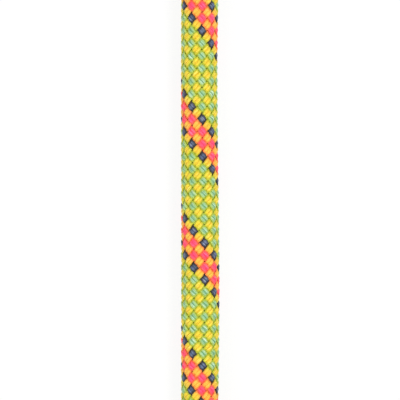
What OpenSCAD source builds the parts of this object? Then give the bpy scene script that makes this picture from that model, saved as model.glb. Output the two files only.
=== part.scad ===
// Dynamic climbing rope: a straight length with a sealed end, and the rest folded into a tied hank.
// Millimetres, +Z up. The rope lies on the plane Z = 0, its straight length runs along Y, and the
// origin is below the middle of the whole object.

/* [Rope] */
// Outer diameter of the rope
rope_d = 9.8; // [8.9:0.1:11]
// Thickness of the braided sheath
sheath_t = 1.05; // [0.8:0.05:1.2]
// Length of the straight stretch, from the hank's lead-in to the end seal
stretch_len = 162; // [120:1:220]

/* [Core] */
// Width of the identification tape between core and sheath
tape_w = 2.6; // [1.5:0.1:4]
// Thickness of the identification tape
tape_t = 0.08; // [0.05:0.01:0.1]
// Clearance between strands, tape and sheath
core_gap = 0.06; // [0.03:0.01:0.1]

/* [Ends] */
// Thickness of the melted end seal
seal_t = 2.4; // [1.6:0.1:4]
// Rounding of the seal's edge
seal_edge = 1.2; // [0.5:0.1:1.4]
// Length of the shrunk end sleeve
sleeve_len = 34; // [24:1:44]
// Wall of the shrunk end sleeve
sleeve_t = 0.45; // [0.3:0.05:0.8]
// Clearance between a sleeve and the rope
sleeve_gap = 0.05; // [0.03:0.01:0.1]

/* [Hank] */
// Length of the runs between the folds
run_len = 151; // [140:1:196]
// Centreline radius of the tightest fold
fold_r = 29.6; // [28:0.1:36]
// Loops in each of the four layers
layer_loops = 4; // [3:1:5]
// Clearance between neighbouring turns
turn_gap = 0.5; // [0.42:0.01:1]
// Straight rope beside the hank, before its first run
lead_in = 78; // [70:1:110]
// How far short of its last fold the rope ends
end_short = 14; // [8:1:24]

/* [Tie] */
// Width of the strap
strap_w = 25; // [20:1:28]
// Thickness of the strap
strap_t = 1.5; // [1:0.1:2]
// Clearance between the strap and the rope
strap_gap = 0.3; // [0.2:0.05:0.6]
// Place of the ring across the hank, from the hank's middle
ring_x = -12; // [-16:1:-8]
// Thickness of the ring's bars
ring_d = 2.4; // [2:0.1:3]
// Bend of the ring's corners, at the middle of its bar
ring_bend = 2.2; // [1.6:0.1:3]
// Opening of the ring along the strap
ring_open = 6.4; // [6:0.1:9]
// Clearance between the ring and the strap
ring_gap = 0.15; // [0.1:0.01:0.3]
// Length of the tail past the ring
tail_len = 40; // [34:1:42]
// Length of the sewn end on the other side of the ring
sewn_len = 20; // [16:1:24]
// Length of the hook panel under the tail
hook_len = 26; // [18:1:28]
// Length of the loop panel on the strap
loop_len = 34; // [28:1:36]

/* [Hidden] */
RING_STRANDS = 9;
MIDDLE_STRANDS = 3;
$fn = 64;

// Rope
rope_r = rope_d / 2;
sleeve_r = rope_r + sleeve_gap + sleeve_t;
rope_z = sleeve_r;
bore_r = rope_r - sheath_t;

// Core: nine strands in a ring round three, which is 4.03 strands across where they touch
tape_r = bore_r - core_gap - tape_t;
core_r = tape_r - core_gap;
STRANDS_ACROSS = 4.16;
strand_d = 2 * core_r / STRANDS_ACROSS;
ring_r = core_r - strand_d / 2;
middle_r = (strand_d + core_gap) / 2 / sin(180 / MIDDLE_STRANDS);

// Hank: four layers of turns. A turn has as many steps as rings, and its runs and folds share them
LAYERS = 4;
RUN_STEPS = 5;
FOLD_STEPS = 7;
TURN_STEPS = 2 * (RUN_STEPS + FOLD_STEPS);
TUBE_SIDES = 6;
ease_len = run_len / 2 - run_len / RUN_STEPS / 2;
flat_cut = rope_d / 10;
layer_step = rope_d + turn_gap;
// The waist draws every run in alike until the innermost runs lie side by side
waist_in = fold_r - layer_step / 2;
waist_slope = atan(PI / 2 * waist_in / ease_len);
turn_step = layer_step / cos(waist_slope);
// Turns reverse in the middle of the second run
reverse_at = (RUN_STEPS * 1.5 + FOLD_STEPS) / TURN_STEPS;
inner_r = fold_r - turn_step * RUN_STEPS / 2 / TURN_STEPS;
under_z = rope_r - flat_cut;
waist_lift = strap_t + strap_gap + flat_cut;
end_turn = LAYERS * layer_loops - 1 + RUN_STEPS / TURN_STEPS * (1 - end_short / run_len);
end_room = sleeve_gap + sleeve_t + 0.1;

// Turns counted from the start of the first run, and the whole steps in them
function clamp01(v) = min(1, max(0, v));
function eased(v) = (1 - cos(180 * clamp01(v))) / 2;
function spiral_r(q) =
    inner_r + turn_step * abs((q + 1 - reverse_at) % (2 * layer_loops) - layer_loops);
function climbed(q) =
    let (c = (q - layer_loops + 1 - reverse_at + 0.25) / layer_loops, whole = floor(c))
    c < 0 ? 0 : whole + eased((c - whole) * layer_loops * 2);
function drawn(y) = 1 - eased((abs(y) - run_len / RUN_STEPS / 2) / ease_len);
// The last run keeps away from its neighbours by the thickness of its sleeve
function end_ease(q) = end_room * eased((q - floor(end_turn)) * 12);

// The centreline, round the middle of the hank
function turn_point(q) =
    let (
        s = (q - floor(q)) * TURN_STEPS,
        r = spiral_r(q) + end_ease(q),
        back = s > RUN_STEPS + FOLD_STEPS,
        t = back ? s - RUN_STEPS - FOLD_STEPS : s,
        side = back ? -1 : 1,
        on_run = t <= RUN_STEPS,
        turned = 180 * (t - RUN_STEPS) / FOLD_STEPS,
        y = on_run ? run_len * (0.5 - t / RUN_STEPS) : -run_len / 2 - r * sin(turned),
        x = on_run ? waist_in * drawn(y) - r : -r * cos(turned),
        z = under_z + layer_step * climbed(q) + end_ease(q)
            + (on_run ? waist_lift * drawn(y) : 0)
    )
    [side * x, side * y, z];

// The lead-in comes down from the height of the straight stretch
start = turn_point(0);
LEAD_STEPS = 4;
lead_points = [for (k = [0:LEAD_STEPS - 1])
    let (y = lead_in * (1 - k / LEAD_STEPS))
    [start.x, start.y + y, start.z + (rope_z - start.z) * eased((y - rope_d) / (lead_in - 2 * rope_d))]];
straight_in = [start.x, start.y + lead_in - rope_d, rope_z];
turn_points = [for (i = [0:floor(end_turn * TURN_STEPS)]) turn_point(i / TURN_STEPS)];
last_point = turn_point(end_turn);
hank_points = concat([lead_points[0], straight_in],
                     [for (k = [1:LEAD_STEPS - 1]) lead_points[k]], turn_points, [last_point]);

// The end of the rope in the hank
before_last = turn_points[len(turn_points) - 1];
end_way = (last_point - before_last) / norm(last_point - before_last);
two_before = turn_points[len(turn_points) - 2];
sleeve_from = before_last + (two_before - before_last)
    * (sleeve_len - norm(last_point - before_last)) / norm(two_before - before_last);

// The whole object's box, and the place of the hank's middle in it
turn_x = [for (p = turn_points) p.x];
turn_y = [for (p = turn_points) p.y];
stretch_end_y = start.y + lead_in + stretch_len + seal_t;
hank_x = -(max(turn_x) + min(turn_x)) / 2;
hank_y = -(stretch_end_y + min(turn_y) - rope_r) / 2;
stretch_x = hank_x + start.x;
stretch_y = hank_y + start.y + lead_in;

// The tie, seen along the rope: the runs at the corners of the waist
last_run = floor(end_turn) + RUN_STEPS / 2 / TURN_STEPS;
left_x = turn_point(last_run).x;
right_x = inner_r + turn_step * (layer_loops - 1) - waist_in;
outer_x = right_x + turn_step;
low_z = under_z + waist_lift;
high_z = turn_point(last_run).z;
band_in = rope_r + strap_gap;
band_top = high_z + band_in + strap_t;
bar_z = band_top + ring_gap + ring_d / 2;
bar_x = ring_open / 2 + ring_d / 2;
fold_in = ring_d / 2 + ring_gap;
tail_z = bar_z + fold_in + strap_t / 2;
panel_t = (bar_z + fold_in - band_top - ring_gap) / 2;
BAND_ROUND = 32;
// How far the tail peels back, in degrees
TAIL_PEEL = 120;

// Faces of a tube through rings of n points: solid with end caps, or closed round like a ring
function skin(count, n, closed) = [
    for (i = [0:count - (closed ? 1 : 2)], k = [0:n - 1])
        let (a = i * n + k, b = i * n + (k + 1) % n,
             c = (i + 1) % count * n + k, d = (i + 1) % count * n + (k + 1) % n)
        each [[a, b, c], [b, d, c]]];
function caps(count, n) = [
    for (k = [1:n - 2]) each [[0, k + 1, k], [(count - 1) * n, (count - 1) * n + k, (count - 1) * n + k + 1]]];
function way(points, i) =
    let (v = points[min(i + 1, len(points) - 1)] - points[max(i - 1, 0)]) v / norm(v);
function rings(points, r, n) = [
    for (i = [0:len(points) - 1])
        let (w = way(points, i), side = cross(w, [0, 0, 1]) / norm(cross(w, [0, 0, 1])),
             up = cross(side, w))
        for (k = [0:n - 1])
            let (p = points[i] + r * (cos(360 * k / n) * side + sin(360 * k / n) * up))
            [p.x, p.y, max(p.z, 0)]];

module tube(points, r, n) {
    polyhedron(rings(points, r, n),
               concat(skin(len(points), n, false), caps(len(points), n)), convexity = 10);
}

// Least distance of the centreline to itself, from each point to each straight piece
function to_piece(p, a, b) =
    let (t = clamp01((p - a) * (b - a) / ((b - a) * (b - a)))) norm(p - a - t * (b - a));
function least_gap(points) = min([
    for (i = [0:len(points) - FOLD_STEPS - 3], j = [i + FOLD_STEPS:len(points) - 2])
        if (abs(points[i].x - points[j].x) < 4 * rope_d) to_piece(points[i], points[j], points[j + 1])]);
function path_len(points, i = 0, sum = 0) =
    i >= len(points) - 1 ? sum : path_len(points, i + 1, sum + norm(points[i + 1] - points[i]));

// A rounded disc on the plane Z = 0, the melted end of the rope
module melted_end() {
    rotate_extrude()
        difference() {
            union() {
                square([rope_r, seal_t - seal_edge]);
                square([rope_r - seal_edge, seal_t]);
                translate([rope_r - seal_edge, seal_t - seal_edge]) circle(seal_edge);
            }
            translate([-rope_d, -1]) square([rope_d, seal_t + 2]);
        }
}

module along_stretch(from = 0) {
    translate([stretch_x, stretch_y + from, rope_z]) rotate([-90, 0, 0]) children();
}

module in_hank() {
    translate([hank_x, hank_y, 0]) children();
}

module sheath() {
    color("gold") along_stretch()
        difference() {
            cylinder(r = rope_r, h = stretch_len);
            translate([0, 0, -1]) cylinder(r = bore_r, h = stretch_len + 2);
        }
}

module core_strand(i) {
    in_ring = i <= RING_STRANDS;
    angle = in_ring ? 360 / RING_STRANDS * i : 360 / MIDDLE_STRANDS * i + 180 / RING_STRANDS;
    color("white") along_stretch()
        rotate([0, 0, angle])
            translate([in_ring ? ring_r : middle_r, 0, 0]) cylinder(d = strand_d, h = stretch_len);
}

module marker_tape() {
    span = tape_w / tape_r * 180 / PI;
    color("deepskyblue") along_stretch()
        rotate([0, 0, -span / 2])
            rotate_extrude(angle = span) translate([tape_r, 0]) square([tape_t, stretch_len]);
}

module end_seal() {
    color("dimgray") along_stretch(stretch_len) melted_end();
}

module end_sleeve() {
    color("black") along_stretch(stretch_len - sleeve_len)
        difference() {
            cylinder(r = sleeve_r, h = sleeve_len);
            translate([0, 0, -1]) cylinder(r = rope_r + sleeve_gap, h = sleeve_len + 2);
        }
}

module hank() {
    echo(turns = end_turn, least_gap = least_gap(hank_points) - rope_d,
         rope_length = path_len(hank_points) + stretch_len);
    color("mediumaquamarine") in_hank() tube(hank_points, rope_r, TUBE_SIDES);
}

module hank_end_seal() {
    turn = atan2(end_way.y, end_way.x);
    tilt = acos(end_way.z);
    color("dimgray") in_hank()
        translate(last_point) rotate([0, tilt, turn]) melted_end();
}

module hank_end_sleeve() {
    n = 2 * TUBE_SIDES;
    path = [sleeve_from, before_last, last_point];
    back = [last_point, before_last, sleeve_from];
    outer = rings(path, sleeve_r, n);
    inner = rings(path, rope_r + sleeve_gap, n);
    turned = [for (i = [len(path) - 1:-1:0], k = [0:n - 1]) inner[i * n + k]];
    color("black") in_hank()
        polyhedron(concat(outer, turned), skin(2 * len(path), n, true), convexity = 4);
}

// Outline round the runs at the waist, drawn in X and Y and stood up across the rope
module waist_outline(grown) {
    mid_z = (low_z + high_z) / 2;
    hull() {
        for (z = [low_z, high_z]) {
            translate([left_x, z]) circle(rope_r + grown, $fn = BAND_ROUND);
            translate([right_x, z]) circle(rope_r + grown, $fn = BAND_ROUND);
        }
        translate([outer_x, mid_z]) circle(rope_r + grown, $fn = BAND_ROUND);
    }
}

module across_hank(width) {
    in_hank() translate([0, width / 2, 0]) rotate([90, 0, 0]) linear_extrude(width) children();
}

// Half of the strap's fold round one of the ring's bars
module bar_fold(side) {
    translate([ring_x + side * bar_x, bar_z])
        difference() {
            circle(fold_in + strap_t);
            circle(fold_in);
            translate([side > 0 ? 0 : -2 * (ring_d + strap_t), -ring_d - strap_t])
                square(2 * (ring_d + strap_t));
        }
}

module tie_band() {
    sewn_x = ring_x - bar_x;
    color("darkslategray") across_hank(strap_w) {
        difference() {
            waist_outline(strap_gap + strap_t);
            waist_outline(strap_gap);
            translate([ring_x - bar_x, high_z]) square([2 * bar_x, 2 * rope_d]);
        }
        bar_fold(-1);
        // The other fold stops short of the tail's rounded end, and of the tail peeled right back
        difference() {
            bar_fold(1);
            translate([ring_x + bar_x, tail_z]) {
                circle(strap_t / 2 + ring_gap);
                rotate(TAIL_PEEL) translate([0, -strap_t / 2 - ring_gap])
                    square([2 * strap_t, strap_t + 2 * ring_gap]);
            }
        }
        // The sewn end comes down from the ring to the strap
        polygon([[sewn_x, bar_z + fold_in], [sewn_x, bar_z + fold_in + strap_t],
                 [sewn_x - sewn_len / 3, band_top + strap_t], [sewn_x - sewn_len, band_top + strap_t],
                 [sewn_x - sewn_len, band_top - strap_t / 2], [sewn_x - sewn_len / 3, band_top - strap_t / 2],
                 [sewn_x - sewn_len / 3, band_top]]);
    }
}

// Bent wire: four straight bars and a quarter turn at each corner
module tie_ring() {
    straight_y = strap_w / 2 + ring_gap;
    straight_x = bar_x - ring_bend;
    color("silver") in_hank() translate([ring_x, 0, bar_z]) {
        for (s = [-1, 1]) {
            translate([s * bar_x, straight_y, 0]) rotate([90, 0, 0]) cylinder(d = ring_d, h = 2 * straight_y);
            translate([-straight_x, s * (straight_y + ring_bend), 0]) rotate([0, 90, 0])
                cylinder(d = ring_d, h = 2 * straight_x);
        }
        for (k = [0:3])
            translate([(k == 0 || k == 3 ? 1 : -1) * straight_x, (k < 2 ? 1 : -1) * straight_y, 0])
                rotate([0, 0, 90 * k]) rotate_extrude(angle = 90) translate([ring_bend, 0]) circle(d = ring_d);
    }
}

module tie_tail() {
    color("darkslategray") in_hank() translate([ring_x + bar_x, strap_w / 2, tail_z]) rotate([90, 0, 0]) {
        cylinder(d = strap_t, h = strap_w);
        translate([0, -strap_t / 2, 0]) cube([tail_len, strap_t, strap_w]);
    }
}

module tie_hook_panel() {
    color("dimgray") in_hank()
        translate([ring_x + bar_x + tail_len - hook_len - 2, 1 - strap_w / 2, tail_z - strap_t / 2 - panel_t])
            cube([hook_len, strap_w - 2, panel_t]);
}

module tie_loop_panel() {
    color("gray") in_hank()
        translate([ring_x + bar_x + tail_len - loop_len, 1 - strap_w / 2, band_top])
            cube([loop_len, strap_w - 2, panel_t]);
}

sheath();
for (i = [1:RING_STRANDS + MIDDLE_STRANDS])
    core_strand(i);
marker_tape();
end_seal();
end_sleeve();
hank();
hank_end_seal();
hank_end_sleeve();
tie_band();
tie_ring();
tie_tail();
tie_hook_panel();
tie_loop_panel();
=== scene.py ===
"""Looks of a dynamic climbing rope: a straight length, and the rest folded into a hank with a strap round it."""

import logging
import math
from dataclasses import dataclass
from enum import Enum
from typing import ClassVar

import bmesh
import bpy
import numpy as np
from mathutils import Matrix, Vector, noise


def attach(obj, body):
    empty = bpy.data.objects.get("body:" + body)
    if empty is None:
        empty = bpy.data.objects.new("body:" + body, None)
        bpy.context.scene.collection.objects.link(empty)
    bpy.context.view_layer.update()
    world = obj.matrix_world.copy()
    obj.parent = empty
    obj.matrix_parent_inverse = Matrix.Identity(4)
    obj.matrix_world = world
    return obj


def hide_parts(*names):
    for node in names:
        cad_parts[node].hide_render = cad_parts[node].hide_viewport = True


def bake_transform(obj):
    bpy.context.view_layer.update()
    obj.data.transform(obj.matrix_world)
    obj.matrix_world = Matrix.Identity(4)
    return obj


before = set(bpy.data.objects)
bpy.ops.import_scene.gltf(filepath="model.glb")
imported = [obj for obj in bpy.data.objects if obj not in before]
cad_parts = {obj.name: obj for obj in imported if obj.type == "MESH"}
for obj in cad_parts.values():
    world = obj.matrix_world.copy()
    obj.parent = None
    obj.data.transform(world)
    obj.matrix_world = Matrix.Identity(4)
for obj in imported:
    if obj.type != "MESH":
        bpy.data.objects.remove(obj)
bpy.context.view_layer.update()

LOG = logging.getLogger("rope")
MM = 0.001
BODY = "rope"
TAIL_BODY = "strap_tail"
Point = tuple[float, float, float]
Piece = bpy.types.Object
Material = bpy.types.Material
Socket = bpy.types.NodeSocket
Colour = str | Socket


# ---------------------------------------------------------------- nodes


def linear(code: str) -> tuple[float, float, float, float]:
    """Turns a colour from sRGB into linear light.

    Args:
        code: Six hex digits.

    Returns:
        Red, green, blue and an alpha of one.
    """
    parts = [int(code[k : k + 2], 16) / 255 for k in (0, 2, 4)]
    return (*[c / 12.92 if c <= 0.04045 else ((c + 0.055) / 1.055) ** 2.4 for c in parts], 1.0)


def add(tree: bpy.types.NodeTree, kind: str, inputs: dict | None = None, **settings: object) -> bpy.types.Node:
    """Adds one node to a tree.

    Args:
        tree: A shader or geometry node tree.
        kind: The node's type name.
        inputs: Values, sockets or wires for its inputs, by name or number.
        settings: Values for its own properties.

    Returns:
        The new node.
    """
    node = tree.nodes.new(kind)
    for name, value in settings.items():
        setattr(node, name, value)
    for key, value in (inputs or {}).items():
        value = value.socket if isinstance(value, Wire) else value
        if isinstance(value, Socket):
            tree.links.new(value, node.inputs[key])
        else:
            node.inputs[key].default_value = value
    return node


@dataclass(frozen=True)
class Wire:
    """A number that runs through a node tree and can be reckoned with.

    Args:
        socket: The output that the number comes from.
    """

    socket: Socket

    def reckon(self, operation: str, *numbers: "Wire | float") -> "Wire":
        """Puts numbers through one sum, in the order given, with None for this one.

        Args:
            operation: A Math node's operation.
            numbers: The other numbers, or all of them with None in this one's place.

        Returns:
            The result.
        """
        numbers = numbers if None in numbers else (None, *numbers)
        inputs = {k: self if v is None else v for k, v in enumerate(numbers)}
        return Wire(add(self.socket.id_data, "ShaderNodeMath", inputs, operation=operation).outputs[0])

    def __add__(self, other: "Wire | float") -> "Wire":
        """Sum."""
        return self.reckon("ADD", other)

    def __sub__(self, other: "Wire | float") -> "Wire":
        """Difference."""
        return self.reckon("SUBTRACT", other)

    def __mul__(self, other: "Wire | float") -> "Wire":
        """Product."""
        return self.reckon("MULTIPLY", other)

    def __truediv__(self, other: "Wire | float") -> "Wire":
        """Quotient."""
        return self.reckon("DIVIDE", other)

    def __mod__(self, other: "Wire | float") -> "Wire":
        """What is left over, never negative."""
        return self.reckon("FLOORED_MODULO", other)

    def __rtruediv__(self, other: float) -> "Wire":
        """Quotient of a plain number."""
        return self.reckon("DIVIDE", other, None)

    def __rsub__(self, other: float) -> "Wire":
        """Difference from a plain number."""
        return self.reckon("SUBTRACT", other, None)

    __radd__, __rmul__ = __add__, __mul__

    def of(self, operation: str) -> "Wire":
        """The result of a sum on this number alone, such as SINE or FLOOR."""
        return self.reckon(operation, None)

    def held(self, low: float, high: float) -> "Wire":
        """This number kept between two others."""
        return self.reckon("MAXIMUM", low).reckon("MINIMUM", high)


class Tree:
    """A node tree under construction, with what shaders and geometry share."""

    tree: bpy.types.NodeTree

    def node(self, kind: str, inputs: dict | None = None, **settings: object) -> bpy.types.Node:
        """Adds a node, as add does."""
        return add(self.tree, kind, inputs, **settings)

    def vector(self, x: Wire | float, y: Wire | float, z: Wire | float = 0.0) -> Socket:
        """Three numbers as one vector."""
        return self.node("ShaderNodeCombineXYZ", {0: x, 1: y, 2: z}).outputs[0]

    def parts(self, vector: Socket) -> tuple[Wire, Wire, Wire]:
        """The three numbers of a vector."""
        return tuple(Wire(s) for s in self.node("ShaderNodeSeparateXYZ", {0: vector}).outputs)


class Growth(Tree):
    """A geometry node tree with named inputs, which is run once and gives a plain mesh.

    Args:
        name: The tree's name.
        sizes: Names of its number inputs.
    """

    def __init__(self, name: str, sizes: tuple[str, ...]) -> None:
        """Starts the tree with its inputs."""
        self.tree = bpy.data.node_groups.new(name, "GeometryNodeTree")
        self.keys: dict[str, str] = {}
        kinds = [("Path", "NodeSocketObject"), ("Material", "NodeSocketMaterial")]
        for label, kind in kinds + [(size, "NodeSocketFloat") for size in sizes]:
            item = self.tree.interface.new_socket(label, in_out="INPUT", socket_type=kind)
            self.keys[label] = item.identifier
        entry = self.node("NodeGroupInput")
        self.inputs = {label: Wire(entry.outputs[label]) for label in self.keys}
        self.path = self.node("GeometryNodeObjectInfo", {"Object": self["Path"]}).outputs["Geometry"]

    def __getitem__(self, name: str) -> Wire:
        """An input of the tree, by name."""
        return self.inputs[name]

    def grid(self, columns: Wire | float, rows: Wire | float) -> Socket:
        """A flat sheet of points, one unit each way about its middle, that is bent into a piece."""
        return self.node("GeometryNodeMeshGrid", {"Vertices X": columns, "Vertices Y": rows}).outputs[0]

    def reckoned(self, operation: str, *vectors: Socket | Point, **scale: Wire) -> Socket:
        """Puts vectors through one sum."""
        inputs = {**dict(enumerate(vectors)), **scale}
        return self.node("ShaderNodeVectorMath", inputs, operation=operation).outputs[0]

    def spot(self) -> tuple[Wire, Wire, Wire]:
        """The three numbers of a point's place."""
        return self.parts(self.node("GeometryNodeInputPosition").outputs[0])

    def read(self, name: str) -> Wire:
        """A named number of the points."""
        return Wire(self.node("GeometryNodeInputNamedAttribute", {"Name": name}, data_type="FLOAT").outputs[0])

    def store(self, shape: Socket, name: str, value: Wire | Socket, data_type: str = "FLOAT",
              domain: str = "POINT") -> Socket:
        """Stores a field under a name, and gives the geometry that has it."""
        inputs = {"Geometry": shape, "Name": name, "Value": value}
        return self.node("GeometryNodeStoreNamedAttribute", inputs, data_type=data_type, domain=domain).outputs[0]

    def copies(self, shape: Socket, count: Wire | float, labels: dict[str, Wire]) -> Socket:
        """Copies a shape on the spot, each copy with its own numbers.

        Args:
            shape: The geometry to copy.
            count: How many.
            labels: Numbers to store with each copy, by name.

        Returns:
            The copies as real geometry.
        """
        dots = self.node("GeometryNodeMeshLine", {"Count": count, "Offset": (0, 0, 0)}).outputs[0]
        for name, value in labels.items():
            dots = self.store(dots, name, value)
        placed = self.node("GeometryNodeInstanceOnPoints", {"Points": dots, "Instance": shape}).outputs[0]
        return self.node("GeometryNodeRealizeInstances", {0: placed}).outputs[0]

    def index(self) -> Wire:
        """The number of each point."""
        return Wire(self.node("GeometryNodeInputIndex").outputs[0])

    def followed(self, along: Wire, aside: Wire, up: Wire, axis: Point = (0, 0, 1)) -> Socket:
        """Places points beside the path.

        Args:
            along: Distance along the path.
            aside: Distance to the side, level with the ground where the axis is upright.
            up: Distance along the axis, leaned over with the path.
            axis: The direction that stays across the path.

        Returns:
            The places.
        """
        inputs = {"Curves": self.path, "Length": along}
        at = self.node("GeometryNodeSampleCurve", inputs, mode="LENGTH", data_type="FLOAT").outputs
        across = self.reckoned("CROSS_PRODUCT", at["Tangent"], axis)
        side = self.reckoned("NORMALIZE", across)
        over = self.reckoned("CROSS_PRODUCT", side, at["Tangent"])
        place = at["Position"]
        for direction, distance in ((side, aside), (over, up)):
            place = self.reckoned("ADD", place, self.reckoned("SCALE", direction, Scale=distance))
        return place

    def moved(self, shape: Socket, place: Socket, join: float = 2e-6) -> Socket:
        """Moves points to their places and joins those that meet.

        Args:
            shape: The points' mesh.
            place: Where they go.
            join: Points closer than this become one.

        Returns:
            The closed mesh, shaded smooth.
        """
        shape = self.node("GeometryNodeSetPosition", {"Geometry": shape, "Position": place}).outputs[0]
        shape = self.node("GeometryNodeMergeByDistance", {"Geometry": shape, "Distance": join}).outputs[0]
        return self.node("GeometryNodeSetShadeSmooth", {"Geometry": shape}).outputs[0]

    def end(self, shape: Socket, dyes: list | tuple = ()) -> "Growth":
        """Ends the tree with real geometry and its material.

        Args:
            shape: What the tree has made.
            dyes: Pairs of a material and the field that picks its faces.

        Returns:
            The tree itself, ready to run.
        """
        real = self.node("GeometryNodeRealizeInstances", {0: shape}).outputs[0]
        for material, chosen in ((self["Material"], True), *dyes):
            inputs = {"Geometry": real, "Selection": chosen, "Material": material}
            real = self.node("GeometryNodeSetMaterial", inputs).outputs[0]
        self.tree.interface.new_socket("Geometry", in_out="OUTPUT", socket_type="NodeSocketGeometry")
        self.node("NodeGroupOutput", {"Geometry": real})
        return self

    def run(self, name: str, path: Piece, material: Material, **sizes: float) -> Piece:
        """Runs the tree once.

        Args:
            name: The new piece's name.
            path: The curve that the piece follows.
            material: What the piece is made of.
            sizes: The number inputs, with _ for the spaces in their names.

        Returns:
            The piece, a plain mesh at the origin.
        """
        host = link(bpy.data.objects.new(name, bpy.data.meshes.new(name)))
        modifier = host.modifiers.new("growth", "NODES")
        modifier.node_group = self.tree
        modifier[self.keys["Path"]] = path
        modifier[self.keys["Material"]] = material
        for label, value in sizes.items():
            modifier[self.keys[label.replace("_", " ")]] = float(value)
        graph = bpy.context.evaluated_depsgraph_get()
        mesh = bpy.data.meshes.new_from_object(host.evaluated_get(graph), depsgraph=graph)
        host.modifiers.remove(modifier)
        old, host.data = host.data, mesh
        bpy.data.meshes.remove(old)
        mesh.name = name
        outward(mesh)
        return host


def link(piece: Piece) -> Piece:
    """Puts an object into the scene."""
    bpy.context.scene.collection.objects.link(piece)
    return piece


def outward(mesh: bpy.types.Mesh) -> None:
    """Turns a closed mesh's faces outwards if its volume is negative."""
    mesh.calc_loop_triangles()
    points = np.empty(len(mesh.vertices) * 3, np.float32)
    mesh.vertices.foreach_get("co", points)
    corners = np.empty(len(mesh.loop_triangles) * 3, np.int32)
    mesh.loop_triangles.foreach_get("vertices", corners)
    a, b, c = points.reshape(-1, 3).astype(float)[corners.reshape(-1, 3).T]
    if (a * np.cross(b, c)).sum() < 0:
        mesh.flip_normals()


def curve(name: str, *lines: list[Point] | np.ndarray) -> Piece:
    """Makes open lines that pieces can follow.

    Args:
        name: The name.
        lines: The points of each line.

    Returns:
        A curve object with no thickness.
    """
    data = bpy.data.curves.new(name, "CURVE")
    data.dimensions = "3D"
    for points in lines:
        spline = data.splines.new("POLY")
        spline.points.add(len(points) - 1)
        spline.points.foreach_set("co", np.c_[np.array(points, float), np.ones(len(points))].ravel())
    return link(bpy.data.objects.new(name, data))


def length_of(points: np.ndarray) -> float:
    """The length of a line through points."""
    return float(np.linalg.norm(np.diff(points, axis=0), axis=1).sum())


# ---------------------------------------------------------------- the rope's measures


class Dye(Enum):
    """Yarn colours of the sheath, as sRGB: the yarn; its deeper filaments, which also paint shade into the grooves;
    its paler filaments, which also stand in for glints; and the painted shade where it dives.

    The last number is where that painted shade begins, from nought in a crossing's middle to one at its edge.
    """

    YELLOW = ("EBD52E", "DFB424", "FCEE7C", "A8B82A", 0.54)
    MINT = ("9ECC9E", "58935F", "E4F3DE", "ACBE30", 0.44)
    NAVY = ("6A7CA0", "1E2E48", "C4CADA", "1A1006", 0.28)
    PINK = ("FB467A", "FA3E60", "FF8CAC", "F66046", 0.46)


@dataclass(frozen=True)
class Wave:
    """A slow change along the rope, such as handling leaves in it.

    Args:
        size: Its greatest value.
        start: Where it rises through nought.
        length: From there to where it does so again.
    """

    size: float
    start: float
    length: float

    def at(self, along: float) -> float:
        """Its value at a place."""
        return self.size * math.sin(math.tau * (along - self.start) / self.length)


@dataclass(frozen=True)
class Braid:
    """The sheath: ten strands each way of two yarns, one over and one under.

    Args:
        diameter: The rope's; it is not used.
        pitch: Length in which a strand goes once round the rope.
        strands: Strands each way.
        middle: Radius of the mean surface that strands weave about.
        lift: How far a strand rises and dips from it.
        yarn_width: Width of one yarn across its strand, on the strands of one colour.
        fine_width: The same on the strands that cross them.
        sway: How far the strands of one colour turn across their own way on top of a crossing.
        fine_sway: The same for the strands that cross them.
        yarn_thick: Thickness of one yarn.
        shift: Where the pattern starts along the rope.
        turn: Where it starts round the rope, in radians.
        ramp: Length over which the waves fade at both ends of the straight length.
        waves: How the rope gets thicker and thinner as a share, how the braid rolls round it in radians, and how
            far its crossings run ahead.
    """

    diameter: float = 9.8 * MM
    pitch: float = 32.04 * MM
    strands: int = 10
    middle: float = 4.25 * MM
    lift: float = 0.34 * MM
    yarn_width: float = 0.98 * MM
    fine_width: float = 0.9 * MM
    sway: float = 0.07 * MM
    fine_sway: float = -0.08 * MM
    yarn_thick: float = 0.62 * MM
    shift: float = 13.88 * MM
    turn: float = math.radians(-8)
    ramp: float = 20 * MM
    waves: ClassVar[dict[str, Wave]] = {
        "Swell": Wave(0.027, 16.5 * MM, 114 * MM),
        "Roll": Wave(0.0629, 18.0 * MM, 72 * MM),
        "Long Roll": Wave(0.097, 38.4 * MM, 100 * MM),
        "Drift": Wave(0.236 * MM, 77.0 * MM, 104 * MM),
        "Long Drift": Wave(0.536 * MM, 27.5 * MM, 140 * MM),
    }

    @property
    def row(self) -> float:
        """Distance between one row of crossings and the next."""
        return self.pitch / (2 * self.strands)

    def pattern(self, shift: float) -> dict[str, float]:
        """What a tree has to know of the braid, with where its pattern starts on the tree's own line."""
        return dict(Shift=shift, Turn=self.turn, Pitch=self.pitch, Strands=self.strands)


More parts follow.
